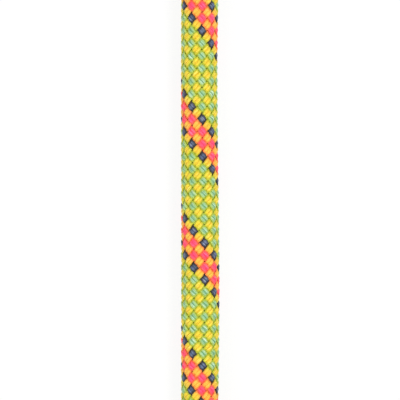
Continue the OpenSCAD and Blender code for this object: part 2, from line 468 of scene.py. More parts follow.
@dataclass(frozen=True)
class Layout:
    """Where the rope lies: the same sizes and the same sums as the solid model has, in metres."""

    rope_r: float = 4.9 * MM
    stretch_len: float = 162 * MM
    sleeve_len: float = 34 * MM
    sleeve_t: float = 0.45 * MM
    sleeve_gap: float = 0.05 * MM
    run_len: float = 151 * MM
    fold_r: float = 29.6 * MM
    layer_loops: int = 4
    layers: int = 4
    turn_gap: float = 0.5 * MM
    lead_in: float = 78 * MM
    end_short: float = 14 * MM
    strap_w: float = 25 * MM
    strap_t: float = 1.5 * MM
    strap_gap: float = 0.3 * MM
    ring_x: float = -12 * MM
    ring_d: float = 2.4 * MM
    ring_bend: float = 2.2 * MM
    ring_open: float = 6.4 * MM
    ring_gap: float = 0.15 * MM
    tail_len: float = 40 * MM
    sewn_len: float = 20 * MM
    hook_len: float = 26 * MM
    loop_len: float = 34 * MM
    seal_t: float = 2.4 * MM
    run_steps: int = 5
    fold_steps: int = 7
    ease_in: float = 24 * MM
    rest_gap: float = 0.03 * MM
    bow: Wave = Wave(0.137 * MM, 17.7 * MM, 114 * MM)

    def __post_init__(self) -> None:
        """Works out what follows from the sizes."""
        put = lambda name, value: object.__setattr__(self, name, value)
        steps = 2 * (self.run_steps + self.fold_steps)
        flat_cut = 2 * self.rope_r / 10
        put("turn_steps", steps)
        put("rope_z", self.rope_r + self.sleeve_gap + self.sleeve_t)
        put("ease_len", self.run_len / 2 - self.run_len / self.run_steps / 2)
        put("layer_step", 2 * self.rope_r + self.turn_gap)
        put("waist_in", self.fold_r - self.layer_step / 2)
        slope = math.atan(math.pi / 2 * self.waist_in / self.ease_len)
        put("turn_step", self.layer_step / math.cos(slope))
        put("reverse_at", (self.run_steps * 1.5 + self.fold_steps) / steps)
        put("inner_r", self.fold_r - self.turn_step * self.run_steps / 2 / steps)
        put("under_z", self.rope_r - flat_cut)
        put("waist_lift", self.strap_t + self.strap_gap + flat_cut)
        last = self.layers * self.layer_loops - 1
        put("end_turn", last + self.run_steps / steps * (1 - self.end_short / self.run_len))
        put("end_room", self.sleeve_gap + self.sleeve_t + 0.1 * MM)
        turns = [self.turn_point(i / steps) for i in range(int(self.end_turn * steps) + 1)]
        start = turns[0]
        across, along = [p[0] for p in turns], [p[1] for p in turns]
        stretch_end = start[1] + self.lead_in + self.stretch_len + self.seal_t
        put("hank_x", -(max(across) + min(across)) / 2)
        put("hank_y", -(stretch_end + min(along) - self.rope_r) / 2)
        put("stretch_x", self.hank_x + start[0])
        put("stretch_y", self.hank_y + start[1] + self.lead_in)
        last_run = int(self.end_turn) + self.run_steps / 2 / steps
        put("left_x", self.turn_point(last_run)[0])
        put("right_x", self.inner_r + self.turn_step * (self.layer_loops - 1) - self.waist_in)
        put("low_z", self.under_z + self.waist_lift)
        put("high_z", self.turn_point(last_run)[2])
        put("band_top", self.high_z + self.rope_r + self.strap_gap + self.strap_t)
        put("bar_z", self.band_top + self.ring_gap + self.ring_d / 2)
        put("bar_x", self.ring_open / 2 + self.ring_d / 2)
        put("fold_in", self.ring_d / 2 + self.ring_gap)
        put("tail_z", self.bar_z + self.fold_in + self.strap_t / 2)
        put("panel_t", (self.bar_z + self.fold_in - self.band_top - self.ring_gap) / 2)

    @staticmethod
    def eased(v: float) -> float:
        """Goes from nought to one with no corner."""
        return (1 - math.cos(math.pi * min(1, max(0, v)))) / 2

    def climbed(self, q: float) -> float:
        """Layers climbed after q turns."""
        c = (q - self.layer_loops + 1 - self.reverse_at + 0.25) / self.layer_loops
        whole = math.floor(c)
        return 0 if c < 0 else whole + self.eased((c - whole) * self.layer_loops * 2)

    def drawn(self, y: float) -> float:
        """How far the waist draws a run in, from nought to one."""
        return 1 - self.eased((abs(y) - self.run_len / self.run_steps / 2) / self.ease_len)

    def turn_point(self, q: float) -> Point:
        """The rope's middle after q turns, measured from the middle of the hank."""
        loops = self.layer_loops
        # In the first twelfth of the last turn the rope makes room for its sleeve
        room = self.end_room * self.eased((q - math.floor(self.end_turn)) * 12)
        s = (q - math.floor(q)) * self.turn_steps
        r = self.inner_r + self.turn_step * abs((q + 1 - self.reverse_at) % (2 * loops) - loops) + room
        half = self.run_steps + self.fold_steps
        t, side = (s - half, -1) if s > half else (s, 1)
        z = self.under_z + self.layer_step * self.climbed(q) + room
        if t <= self.run_steps:
            y = self.run_len * (0.5 - t / self.run_steps)
            x, z = self.waist_in * self.drawn(y) - r, z + self.waist_lift * self.drawn(y)
        else:
            turned = math.pi * (t - self.run_steps) / self.fold_steps
            x, y = -r * math.cos(turned), -self.run_len / 2 - r * math.sin(turned)
        return side * x, side * y, z

    def placed(self, p: Point) -> Point:
        """A point of the hank in the whole object's frame."""
        return p[0] + self.hank_x, p[1] + self.hank_y, p[2]

    def turns(self, first: float, last: float, count: int = 240) -> list[Point]:
        """The rope's middle from one turn to another, with so many points a turn."""
        number = max(2, round((last - first) * count) + 1)
        return [self.placed(self.turn_point(q)) for q in np.linspace(first, last, number)]

    def lead(self) -> list[Point]:
        """The rope's middle from the straight length to the first run."""
        start = self.turn_point(0)
        points = []
        for y in np.arange(self.lead_in, 0, -2 * MM):
            down = self.eased((y - 2 * self.rope_r) / (self.lead_in - 4 * self.rope_r))
            points.append(self.placed((start[0], start[1] + y, start[2] + (self.rope_z - start[2]) * down)))
        return points

    def stretch(self) -> list[Point]:
        """The rope's middle from the hank to the sealed end: between its ends it rests on the ground."""
        rest = self.rope_z - self.rope_r * (1 + BRAID.waves["Swell"].size) - self.rest_gap
        bare = self.stretch_len - self.sleeve_len
        points = []
        for s in np.arange(0, self.stretch_len + 0.5 * MM, 1 * MM):
            low = self.eased(s / self.ease_in) * self.eased((bare - s) / self.ease_in)
            points.append((self.stretch_x + self.bow.at(s) * low, self.stretch_y + s, self.rope_z - rest * low))
        return points


BRAID = Braid()
PLACE = Layout()


# ---------------------------------------------------------------- finishes


@dataclass
class Finish(Tree):
    """A material under construction, with the steps that finishes share.

    Args:
        name: The material's name.
    """

    name: str

    def __post_init__(self) -> None:
        """Starts the material with an empty tree."""
        self.material = bpy.data.materials.new(self.name)
        self.material.use_nodes = True
        self.tree = self.material.node_tree
        self.tree.nodes.clear()

    def chart(self, name: str) -> tuple[Wire, Wire]:
        """The two numbers of a UV map."""
        return self.parts(self.node("ShaderNodeUVMap", uv_map=name).outputs[0])[:2]

    def place(self, size: float) -> Socket:
        """The object's own place, in steps of a size."""
        spot = self.node("ShaderNodeTexCoord").outputs["Object"]
        return self.node("ShaderNodeMapping", {"Vector": spot, "Scale": (1 / size,) * 3}).outputs[0]

    def grain(self, vector: Socket, detail: float = 2.0, rough: float = 0.55) -> Wire:
        """Fractal noise about one half."""
        inputs = {"Vector": vector, "Scale": 1.0, "Detail": detail, "Roughness": rough}
        return Wire(self.node("ShaderNodeTexNoise", inputs).outputs["Fac"])

    def specks(self, size: float, detail: float = 2.0, rough: float = 0.55) -> Wire:
        """Fractal noise in the object's own place, of a size in metres."""
        return self.grain(self.place(size), detail, rough)

    def ramp(self, value: Wire, low: float, high: float) -> Wire:
        """Spreads a span of values over nought to one."""
        inputs = {"Value": value, "From Min": low, "From Max": high}
        return Wire(self.node("ShaderNodeMapRange", inputs, clamp=True).outputs[0])

    def blend(self, share: Wire | float, a: Colour, b: Colour) -> Socket:
        """Mixes two colours, given as hex or as a socket."""
        a, b = (linear(c) if isinstance(c, str) else c for c in (a, b))
        return self.node("ShaderNodeMix", {0: share, 6: a, 7: b}, data_type="RGBA").outputs[2]

    def layered(self, colour: Colour, *layers: tuple[Wire, float, float, float, Colour]) -> Socket:
        """Lays colours over one another.

        Args:
            colour: What lies at the bottom.
            layers: For each, its pattern, where in that it starts and is full, how much it covers, and its colour.

        Returns:
            The colour on top.
        """
        for pattern, start, full, share, over in layers:
            colour = self.blend(self.ramp(pattern, start, full) * share, colour, over)
        return colour

    def bumped(self, height: Wire, depth: float, strength: float = 1.0, over: Socket | None = None) -> Socket:
        """A normal from a height in metres of depth."""
        inputs = {"Height": height, "Distance": depth, "Strength": strength}
        if over is not None:
            inputs["Normal"] = over
        return self.node("ShaderNodeBump", inputs).outputs[0]

    def closed(self, colour: Socket, rough: Wire, normal: Socket, **shader: float) -> Material:
        """Ends the material in one shader.

        Args:
            colour: Base colour.
            rough: Roughness.
            normal: Surface normal.
            shader: Other inputs, set on their own sockets, with _ for spaces.

        Returns:
            The finished material.
        """
        inputs = {"Base Color": colour, "Roughness": rough, "Normal": normal}
        inputs |= {key.replace("_", " "): value for key, value in shader.items()}
        skin = self.node("ShaderNodeBsdfPrincipled", inputs)
        self.node("ShaderNodeOutputMaterial", {0: skin.outputs[0]})
        return self.material


@dataclass(frozen=True)
class BraidYarn:
    """Polyamide 6 filament yarn, dyed and heat-set: silky along the filaments, with painted shade in the gaps and
    grooves, and paler filaments that also stand in for glints.

    The UV map holds the place across a strand, nought to one for its two yarns, and the crossings passed.

    Args:
        dye: Its colour.
        groove: Depth drawn between the two yarns where the mesh has none.
    """

    dye: Dye
    groove: float = 0.0

    # Filaments are 0.03 mm thick, too fine to show, so bunches of 0.2 mm are drawn
    bunches: float = 2.0 / 0.2
    # Bunches run for some three crossings before they dive
    run: float = 0.35
    # The yarns are twisted, so their filaments lean by two bunches at each crossing
    twist: float = -2.2
    # From where the painted shade of a gap starts to where it is full, as a share of half a crossing
    fall: float = 0.48
    # Where yellow yarns cross the two pink strands, the pink light that bounces onto them is painted into their colour
    # and their painted shade
    shine: str = "FAA444"
    shine_shade: str = "F46E42"

    def made(self) -> Material:
        """Builds the material."""
        kind = "flat" if self.groove else "round"
        finish = Finish(f"dyed_polyamide_yarn_{self.dye.name.lower()}_{kind}")
        base, deep, pale, shade, reach = self.dye.value
        across, along = finish.chart("yarn")
        strand = Wire(finish.node("ShaderNodeAttribute", attribute_name="strand").outputs["Fac"])
        leaned = across * self.bunches + along * self.twist
        # Each strand has its own place in the grain. Single filaments, twice as thick as real, lie on the bunches
        streaks = finish.grain(finish.vector(leaned, along * self.run, strand * 3.7), 3.0, 0.6)
        fine = finish.grain(finish.vector(leaned * 3.3, along * 0.5, strand * 2.3 + 5.0), 2.0, 0.6)
        soft = finish.grain(finish.vector(across * 2.0, along * 0.9, strand * 5.1 + 11.0))
        # The line between the two yarns leans with their twist, and gets painted shade in the deeper colour
        passed = (along + 0.5) % 1.0 - 0.5
        lane = across + passed * (self.twist / self.bunches)
        between = (lane - 0.5).of("ABSOLUTE")
        # Nought in the middle and one at the sides, for a yarn, along a crossing and for a strand
        sides = (lane * 2.0 % 1.0 - 0.5).of("ABSOLUTE") * 2.0
        ends = passed.of("ABSOLUTE") * 2.0
        edge = (across - 0.5).of("ABSOLUTE") * 2.0
        # Grain lays deeper and paler filaments at random, the paler ones also standing in for painted glints; the
        # yarns' sides and the line between them get painted groove shade
        colour = finish.layered(
            base, (streaks, 0.5, 0.68, 0.7, deep), (streaks, 0.46, 0.3, 1.0, pale), (fine, 0.5, 0.7, 0.4, deep),
            (soft, 0.4, 0.75, 0.35, deep), (sides, 0.55, 0.95, 0.4, deep),
            (between, 0.17, 0.03, 0.35 if self.groove else 0.8, deep))
        if self.dye is Dye.YELLOW:
            # Painted bounce light: yellow yarns beside the pink strands are tinted orange, and their painted shade red
            near = finish.ramp(((along + 0.5) % float(BRAID.strands) - 2.0).of("ABSOLUTE"), 1.9, 0.9)
            colour = finish.blend(near * 0.55, colour, self.shine)
            shade = finish.blend(near, shade, self.shine_shade)
        # Painted shade where the strand dives, and at its outer sides, which lie under their neighbours
        colour = finish.layered(colour, (ends, reach, reach + self.fall, 0.9, shade),
                                (edge, reach, reach + self.fall, 0.8, shade))
        normal = finish.bumped(streaks + fine * 0.35, 0.09 * MM, 1.0)
        if self.groove:
            dome = (1.0 - sides.reckon("POWER", 3.0)) * (1.0 - ends.reckon("POWER", 4.0))
            normal = finish.bumped(dome, self.groove, 1.0, normal)
        rough = finish.ramp(streaks, 0.2, 0.9) * 0.2 + 0.46
        return finish.closed(colour, rough, normal, IOR=1.53, Specular_IOR_Level=0.35, Sheen_Weight=0.1,
                             Sheen_Roughness=0.4)


class CoreYarn:
    """Undyed polyamide cord of the core: three twisted plies, white with a silky gloss."""

    def made(self) -> Material:
        """Builds the material."""
        finish = Finish("undyed_polyamide_core_cord")
        across, along = finish.chart("sweep")
        # Ply filaments are drawn 0.1 mm thick and 3 mm long
        streaks = finish.grain(finish.vector(across / (0.1 * MM), along / (3 * MM)), 3.0)
        colour = finish.layered("F6F4EC", (streaks, 0.35, 0.7, 1.0, "D9D5C6"))
        return finish.closed(colour, streaks * 0.2 + 0.4, finish.bumped(streaks, 0.04 * MM, 0.7), IOR=1.53,
                             Sheen_Weight=0.2, Sheen_Roughness=0.4)


class PrintedTape:
    """Polypropylene marker tape with its year's colour in bars and no words: thin, glossy and slightly milky."""

    def made(self) -> Material:
        """Builds the material."""
        finish = Finish("polypropylene_marker_tape")
        across, along = finish.chart("sweep")
        # Bars 6 mm apart across a tape that is drawn with 0.2 mm lengthwise lines
        bars = (along / (6 * MM) % 1.0 - 0.5).of("ABSOLUTE")
        lines = finish.grain(finish.vector(across * 26.0, along * 60.0), 2.0)
        colour = finish.layered("E9F0EE", (bars, 0.3, 0.27, 1.0, "2F9BD0"), (lines, 0.5, 0.8, 0.3, "9FB4B8"))
        return finish.closed(colour, lines * 0.15 + 0.22, finish.bumped(lines, 0.01 * MM), IOR=1.49)


class MeltedNylon:
    """Polyamide melted by a hot knife: a ring of run dyes round an amber core, dark where it scorched and glossy."""

    def made(self) -> Material:
        """Builds the material."""
        finish = Finish("melted_polyamide")
        radius, _ = finish.chart("sweep")
        # Sheath yarns run into blots of about 1 mm, with ripples of 0.3 mm
        blots = finish.node("ShaderNodeTexVoronoi", {"Vector": finish.place(MM), "Scale": 1.0}, feature="SMOOTH_F1")
        clouds, ripples = finish.specks(1.6 * MM, 3.0), finish.specks(0.3 * MM, 3.0)
        pick = Wire(finish.node("ShaderNodeSeparateColor", {0: blots.outputs["Color"]}).outputs[0])
        # The undyed core melts to amber in the middle
        amber = finish.layered("CDBD93", (clouds, 0.35, 0.65, 1.0, "9C8352"))
        colour = finish.layered(
            "A8952A", (pick, 0.4, 0.55, 1.0, "6C8A4E"), (pick, 0.68, 0.8, 0.8, "9A4A4A"),
            (radius + clouds * 1.6 * MM, 4.3 * MM, 3.7 * MM, 1.0, amber),
            (clouds + ripples * 0.4, 0.72, 0.88, 0.75, "33261A"))
        normal = finish.bumped(clouds + ripples * 0.25, 0.25 * MM, 0.8)
        return finish.closed(colour, finish.ramp(clouds, 0.3, 0.7) * 0.25 + 0.22, normal, IOR=1.53, Coat_Weight=0.2)


class ShrinkSleeve:
    """Black polyolefin tube shrunk onto the rope: satin, with faint drawn lines round it."""

    def made(self) -> Material:
        """Builds the material."""
        finish = Finish("shrunk_polyolefin_tube")
        around, along = finish.chart("sweep")
        # Lines 0.25 mm apart from the heat gun's passes, and pits of 0.1 mm
        lines = finish.grain(finish.vector(around * 5.0, along / (0.25 * MM)), 2.0)
        scuffs = finish.ramp(finish.specks(3 * MM, 4.0, 0.7), 0.55, 0.75)
        colour = finish.blend(scuffs * 0.5, "17181A", "2E3033")
        normal = finish.bumped(lines + finish.specks(0.1 * MM) * 0.6, 0.03 * MM, 0.6)
        return finish.closed(colour, scuffs * 0.2 + 0.36, normal, IOR=1.5)


class Webbing:
    """Charcoal polyamide webbing: a tight plain weave with ribs across and a woven edge."""

    def made(self) -> Material:
        """Builds the material."""
        finish = Finish("woven_polyamide_webbing")
        across, along = finish.chart("sweep")
        # Across is in metres here. Warp yarns are 1.1 mm apart, weft picks 0.9 mm
        warp, weft = across / (1.1 * MM), along / (0.9 * MM)
        turn = (warp.of("FLOOR") + weft.of("FLOOR")) % 2.0
        hump, rib, edge = (
            (yarn * math.pi).of("SINE").of("ABSOLUTE") for yarn in (warp, weft, along / (1.4 * MM)))
        weave = hump * turn + rib * (1.0 - turn)
        # The outer 1.3 mm of each side is a selvedge, where only the weft's turns show
        selvedge = finish.ramp(across.of("ABSOLUTE"), 11.1 * MM, 11.4 * MM)
        weave = weave * (1.0 - selvedge) + edge * selvedge
        fibres = finish.grain(finish.vector(across / (0.12 * MM), along / (1.4 * MM)), 3.0)
        # Painted shade where the weave dips between its yarns; the fibres and the large blotches vary in tone at
        # random
        colour = finish.layered("3B4046", (weave, 0.9, 0.1, 1.0, "15171A"), (fibres, 0.5, 0.75, 0.6, "596069"),
                                (finish.specks(9 * MM, 3.0), 0.4, 0.7, 0.25, "4E545B"))
        normal = finish.bumped(weave, 0.16 * MM, 0.9, finish.bumped(fibres, 0.03 * MM))
        return finish.closed(colour, fibres * 0.2 + 0.55, normal, IOR=1.53, Sheen_Weight=0.3, Sheen_Roughness=0.45)


@dataclass(frozen=True)
class Napped:
    """Polyamide hook or loop ground: a knitted base, with the same yarn standing up from it.

    Args:
        label: Which of the two it is.
        colour: Its dye.
        deep: The dye as painted shade, between the standing yarn.
    """

    label: str
    colour: str
    deep: str

    def made(self) -> Material:
        """Builds the material."""
        finish = Finish(f"polyamide_{self.label}_tape")
        # Knit courses 0.8 mm apart, with yarn drawn 0.15 mm thick
        yarn, patches = finish.specks(0.15 * MM, 3.0), finish.specks(0.8 * MM)
        # Painted shade lies low in the grain, between the standing yarn, which shows the dye itself
        colour = finish.layered(self.deep, (yarn, 0.35, 0.7, 1.0, self.colour))
        normal = finish.bumped(yarn + patches, 0.1 * MM, 0.8)
        return finish.closed(colour, patches * 0.2 + 0.5, normal, IOR=1.53, Sheen_Weight=0.4, Sheen_Roughness=0.5)


class PlatedSteel:
    """Bright nickel plate on bent steel wire: mirror-like, with drawn lines and a few rubs."""

    def made(self) -> Material:
        """Builds the material."""
        finish = Finish("nickel_plated_steel")
        around, along = finish.chart("sweep")
        # Drawing lines 0.1 mm apart along the wire
        lines = finish.grain(finish.vector(around / (0.1 * MM), along / (8 * MM)), 2.0)
        rubs = finish.ramp(finish.specks(1.5 * MM, 4.0, 0.7), 0.5, 0.75)
        rough = rubs * 0.18 + lines * 0.06 + 0.14
        colour = finish.blend(rubs, "C9C5BC", "A9A59C")
        return finish.closed(colour, rough, finish.bumped(lines, 0.006 * MM, 0.5), Metallic=1.0)


class Thread:
    """Bonded polyamide sewing thread: pale grey, two plies, waxed."""

    def made(self) -> Material:
        """Builds the material."""
        finish = Finish("bonded_sewing_thread")
        plies = finish.specks(0.12 * MM)
        colour = finish.layered("9DA3A8", (plies, 0.35, 0.65, 1.0, "D6DADC"))
        return finish.closed(colour, plies * 0.15 + 0.4, finish.bumped(plies, 0.03 * MM), IOR=1.53)


class Finishes:
    """Every material of the object, made once."""

    def __init__(self) -> None:
        """Builds them all."""
        self.round = {dye: BraidYarn(dye).made() for dye in Dye}
        self.flat = {dye: BraidYarn(dye, 0.15 * MM).made() for dye in Dye}
        self.core = CoreYarn().made()
        self.tape = PrintedTape().made()
        self.melted = MeltedNylon().made()
        self.sleeve = ShrinkSleeve().made()
        self.webbing = Webbing().made()
        self.hook = Napped("hook", "555B61", "191B1E").made()
        self.loop = Napped("loop", "7C8289", "2C3034").made()
        self.steel = PlatedSteel().made()
        self.thread = Thread().made()


# ---------------------------------------------------------------- growths


def yarn_growth() -> Growth:
    """Yarns of the sheath, each a closed tube that weaves round the rope."""
    parts = [f"{name} {part}" for name in BRAID.waves for part in ("Size", "Start", "Length")]
    g = Growth("braided_yarns", ("Count", "First Strand", "Strand Step", "Hand", "Length", "Overlap", "Rings", "Sides",
                                 "Shift", "Turn", "Pitch", "Strands", "Middle", "Lift", "Width", "Thickness",
                                 "Sway", "Waves End", "Ramp", *parts))
    # Shares of a yarn's width: half of it, drawn wide so that the two yarns press on each other, how far apart they
    # lie, their mean spread, and what they gain on top of a crossing. Its inner side is pressed to a share of its own
    half, apart, mean, gain, pressed = 0.57, 0.92, 0.96, 0.05, 0.55
    number = g.index()
    strand = g["First Strand"] + (number / 2.0).of("FLOOR") * g["Strand Step"]
    labels = {"strand": strand, "side": number % 2.0 - 0.5}
    shape = g.copies(g.grid(g["Sides"] + 1.0, g["Rings"]), g["Count"], labels)
    x, y, _ = g.spot()
    theta, q = (x + 0.5) * math.tau, y + 0.5
    taper = (q.reckon("MINIMUM", 1.0 - q) * (g["Rings"] - 1.0)).held(0.0, 1.0)
    along = q * g["Length"] - g["Overlap"]
    fade = (along / g["Ramp"]).held(0.0, 1.0) * ((g["Waves End"] - along) / g["Ramp"]).held(0.0, 1.0)
    swell, roll, long_roll, drift, long_drift = (
        ((along - g[f"{name} Start"]) / g[f"{name} Length"] * math.tau).of("SINE") * g[f"{name} Size"] * fade
        for name in BRAID.waves)
    turned = (along + drift + long_drift + g["Shift"]) / g["Pitch"]
    phase = turned * g["Strands"] * math.tau
    lean = (g["Middle"] / g["Pitch"] * math.tau).of("ARCTANGENT")
    weave = phase.of("COSINE") * g["Hand"] * g["Lift"]
    spread = weave / g["Lift"] * gain + mean
    flat = theta.of("COSINE") * g["Width"] * half * taper * spread
    # On top of its crossing a strand turns a little across its own way, and back where it dives
    swing = phase.of("SINE") * g["Hand"] * g["Sway"]
    aside = flat + g.read("side") * g["Width"] * apart * spread - swing
    sine = theta.of("SINE")
    high = sine.reckon("MAXIMUM", sine * pressed)
    radius = g["Middle"] * (swell + 1.0) + weave + high * g["Thickness"] * 0.5 * taper
    angle = (g.read("strand") / g["Strands"] + turned * g["Hand"]) * math.tau + g["Turn"] + roll + long_roll
    angle = angle + aside * lean.of("COSINE") / g["Middle"]
    crossed = along + g["Overlap"] - g["Hand"] * aside * lean.of("SINE")
    place = g.followed(crossed, radius * angle.of("SINE"), radius * angle.of("COSINE"))
    met = g.read("strand") + turned * g["Strands"] * 2.0 * g["Hand"]
    chart = g.vector((g.read("side") + 0.5 + (theta.of("COSINE") + 1.0) * 0.5) * 0.5, met)
    shape = g.store(shape, "yarn", chart, "FLOAT2", "CORNER")
    return g.end(g.moved(shape, place))


def lattice_growth(dyes: dict[Dye, Material]) -> Growth:
    """The sheath at one domed cell a crossing, for rope that is seen from further off.

    Args:
        dyes: The yarns' materials.

    Returns:
        The tree.
    """
    g = Growth("braided_cells", ("First Row", "Rows", "From", "To", "Shift", "Turn", "Pitch", "Strands", "Top", "Side",
                                 "Corner", "Ground"))
    number = g.index()
    row = (number / g["Strands"]).of("FLOOR") + g["First Row"]
    shape = g.copies(g.grid(3, 3), g["Rows"] * g["Strands"], {"row": row, "strand": number % g["Strands"]})
    a, b, _ = g.spot()
    row, strand = g.read("row"), g.read("strand")
    # Strands of one hand are counted by strand + row, those of the other by strand
    under = row % 2.0
    one, other = strand + row + a, strand + b
    turn = (strand * 2.0 + row % (g["Strands"] * 2.0) + a + b) / g["Strands"] * math.pi + g["Turn"]
    gap = g["Pitch"] / (g["Strands"] * 2.0)
    free = (row + a - b) * gap - g["Shift"]
    # A row past each end lies on the end's rim, and what is beyond that closes it in the middle
    along = free.reckon("MAXIMUM", g["From"]).reckon("MINIMUM", g["To"])
    edges = (a.of("ABSOLUTE") + b.of("ABSOLUTE")) * 2.0
    radius = g["Top"] + edges.held(0.0, 1.0) * (g["Side"] - g["Top"])
    radius = radius + (edges - 1.0).held(0.0, 1.0) * (g["Corner"] - g["Side"])
    radius = radius * free.reckon("GREATER_THAN", g["From"] - gap) * free.reckon("LESS_THAN", g["To"] + gap)
    x, y, z = g.parts(g.followed(along, radius * turn.of("SINE"), radius * turn.of("COSINE")))
    place = g.vector(x, y, z.reckon("MAXIMUM", g["Ground"]))
    across = under * (a + 0.5) + (1.0 - under) * (b + 0.5)
    met = under * other + (1.0 - under) * one
    shape = g.store(shape, "yarn", g.vector(across, met), "FLOAT2", "CORNER")
    # Of the strands that go under, the first four are navy, pink, pink and navy, and the rest mint
    which = ((strand + row) % g["Strands"] - 1.5).of("ABSOLUTE")
    tracer, pink = (under * which.reckon("LESS_THAN", reach) for reach in (1.9, 0.9))
    shape = g.store(shape, "dye", under + tracer + pink, "FLOAT", "FACE")
    kind = g.read("dye")
    picks = [(dyes[dye], kind.reckon("COMPARE", float(k), 0.1)) for k, dye in enumerate(Dye) if k > 0]
    return g.end(g.moved(shape, place, 20e-6), picks)


def sweep_growth(name: str, axis: Point) -> Growth:
    """Bars, wires, straps and twisted plies: a rounded section that follows a path.

    Args:
        name: The tree's name.
        axis: The direction that a strap's width keeps to.

    Returns:
        The tree.
    """
    g = Growth(name, ("Count", "Length", "Rings", "Sides", "Width", "Thickness", "Edge", "Orbit", "Twist",
                      "Aside", "Up", "Open"))
    shape = g.copies(g.grid(g["Sides"] + 1.0, g["Rings"]), g["Count"], {"strand": g.index()})
    x, y, _ = g.spot()
    # Sides start half a side round, so that each corner has the same number of points
    theta, q = (x + 0.5) * math.tau + math.pi / g["Sides"], y + 0.5
    taper = (q.reckon("MINIMUM", 1.0 - q) * (g["Rings"] - 1.0) + g["Open"]).held(0.0, 1.0)
    # A corner's place is that of a point far off, held inside the section
    far = 1000.0
    along = q * g["Length"]
    turn = (g.read("strand") / g["Count"] + along * g["Twist"]) * math.tau
    aside, up = (
        ((direction * far).reckon("MINIMUM", half).reckon("MAXIMUM", half * -1.0) + direction * g["Edge"]
         + orbit * g["Orbit"]) * taper + g[offset]
        for direction, half, orbit, offset in (
            (theta.of("SINE"), g["Thickness"] / 2.0 - g["Edge"], turn.of("COSINE"), "Aside"),
            (theta.of("COSINE"), g["Width"] / 2.0 - g["Edge"], turn.of("SINE"), "Up")))
    place = g.followed(along, aside, up, axis)
    shape = g.store(shape, "sweep", g.vector(up, along), "FLOAT2", "CORNER")
    return g.end(g.moved(shape, place))


def sleeve_growth() -> Growth:
    """A tube with a wall, drawn down so that the braid under it shows faintly."""
    g = Growth("shrunk_sleeve", ("From", "Length", "Rings", "Sides", "Inner", "Outer", "Relief", "Shift", "Turn",
                                 "Pitch", "Strands"))
    x, y, _ = g.spot()
    angle, loop = (x + 0.5) * math.tau, y + 0.5
    # Out along the outer wall and back along the inner one, with a short wall between them at each end
    there = 1.0 - ((loop * 2.0 - 1.0).of("ABSOLUTE"))
    along = g["From"] + there * g["Length"]
    steep = 14.0
    wall = ((loop * math.tau).of("SINE") * steep).held(-1.0, 1.0)
    turned = (along + g["Shift"]) / g["Pitch"]
    around = (angle - g["Turn"]) / math.tau
    # The wall dips where strands of both hands go under
    one, other = (
        (way * g["Strands"] * math.pi).of("COSINE").reckon("POWER", 2.0) for way in (around + turned, around - turned))
    relief = (one * other - 1.0) * g["Relief"] * wall.held(0.0, 1.0)
    radius = (g["Outer"] + g["Inner"]) / 2.0 + (g["Outer"] - g["Inner"]) / 2.0 * wall + relief
    place = g.followed(along, radius * angle.of("SINE"), radius * angle.of("COSINE"))
    shape = g.grid(g["Sides"] + 1.0, g["Rings"] + 1.0)
    shape = g.store(shape, "sweep", g.vector(angle, along), "FLOAT2", "CORNER")
    return g.end(g.moved(shape, place))


def stitch_growth() -> Growth:
    """Stitches of a lockstitch seam: short thread bridges, end to end along a path."""
    g = Growth("stitches", ("Pitch", "Thread", "Rise"))
    dots = g.node("GeometryNodeResampleCurve", {"Curve": g.path, "Length": g["Pitch"]}, mode="LENGTH").outputs[0]
    aim = g.node("GeometryNodeInputTangent").outputs[0]
    turn = g.node("FunctionNodeAlignRotationToVector", {"Vector": aim}, axis="X").outputs[0]
    ball = g.node("GeometryNodeMeshUVSphere", {"Segments": 6, "Rings": 6, "Radius": 0.5}).outputs[0]
    # Each bridge leaves a gap of a twelfth of the pitch to the next
    share = 0.92
    size = g.vector(g["Pitch"] * share, g["Thread"], g["Rise"])
    inputs = {"Points": dots, "Instance": ball, "Rotation": turn, "Scale": size}
    placed = g.node("GeometryNodeInstanceOnPoints", inputs).outputs[0]
    real = g.node("GeometryNodeRealizeInstances", {0: placed}).outputs[0]
    return g.end(g.node("GeometryNodeSetShadeSmooth", {"Geometry": real}).outputs[0])


def nap_growth() -> Growth:
    """Hooks or loops that stand on a panel: small bent bristles, turned by chance."""
    g = Growth("nap", ("Long", "Wide", "Rows", "Columns", "X", "Y", "Z", "Height", "Wire", "Lean", "Face"))
    grid = g.node("GeometryNodeMeshGrid", {"Size X": g["Long"], "Size Y": g["Wide"], "Vertices X": g["Columns"],
                                           "Vertices Y": g["Rows"]}).outputs[0]
    # A bristle's tip is thinner than its foot, and sinks as it leans
    tip, sink = 0.6, 0.6
    inputs = {"Vertices": 5, "Side Segments": 5, "Fill Segments": 1, "Radius Top": g["Wire"] * tip,
              "Radius Bottom": g["Wire"], "Depth": g["Height"]}
    bristle = g.node("GeometryNodeMeshCone", inputs).outputs[0]
    x, y, z = g.spot()
    bow = (z / g["Height"]).reckon("POWER", 2.0) * g["Lean"]
    bent = g.vector(x + bow, y, (z - bow * sink) * g["Face"])
    bristle = g.node("GeometryNodeSetPosition", {"Geometry": bristle, "Position": bent}).outputs[0]
    spin = {"Min": (0, 0, -math.pi), "Max": (0, 0, math.pi), "Seed": 7}
    turn = g.node("FunctionNodeRandomValue", spin, data_type="FLOAT_VECTOR").outputs[0]
    placed = g.node("GeometryNodeInstanceOnPoints", {"Points": grid, "Instance": bristle, "Rotation": turn})
    real = g.node("GeometryNodeRealizeInstances", {0: placed.outputs[0]}).outputs[0]
    home = g.vector(g["X"], g["Y"], g["Z"])
    return g.end(g.node("GeometryNodeTransform", {"Geometry": real, "Translation": home}).outputs[0])


class Growths:
    """Every geometry tree of the object, made once."""

    def __init__(self, finishes: Finishes) -> None:
        """Builds them all."""
        self.yarns = yarn_growth()
        self.cells = lattice_growth(finishes.flat)
        self.sweep = sweep_growth("sweep", (0, 0, 1))
        self.strap = sweep_growth("strap_sweep", (0, 1, 0))
        self.sleeve = sleeve_growth()
        self.stitches = stitch_growth()
        self.nap = nap_growth()


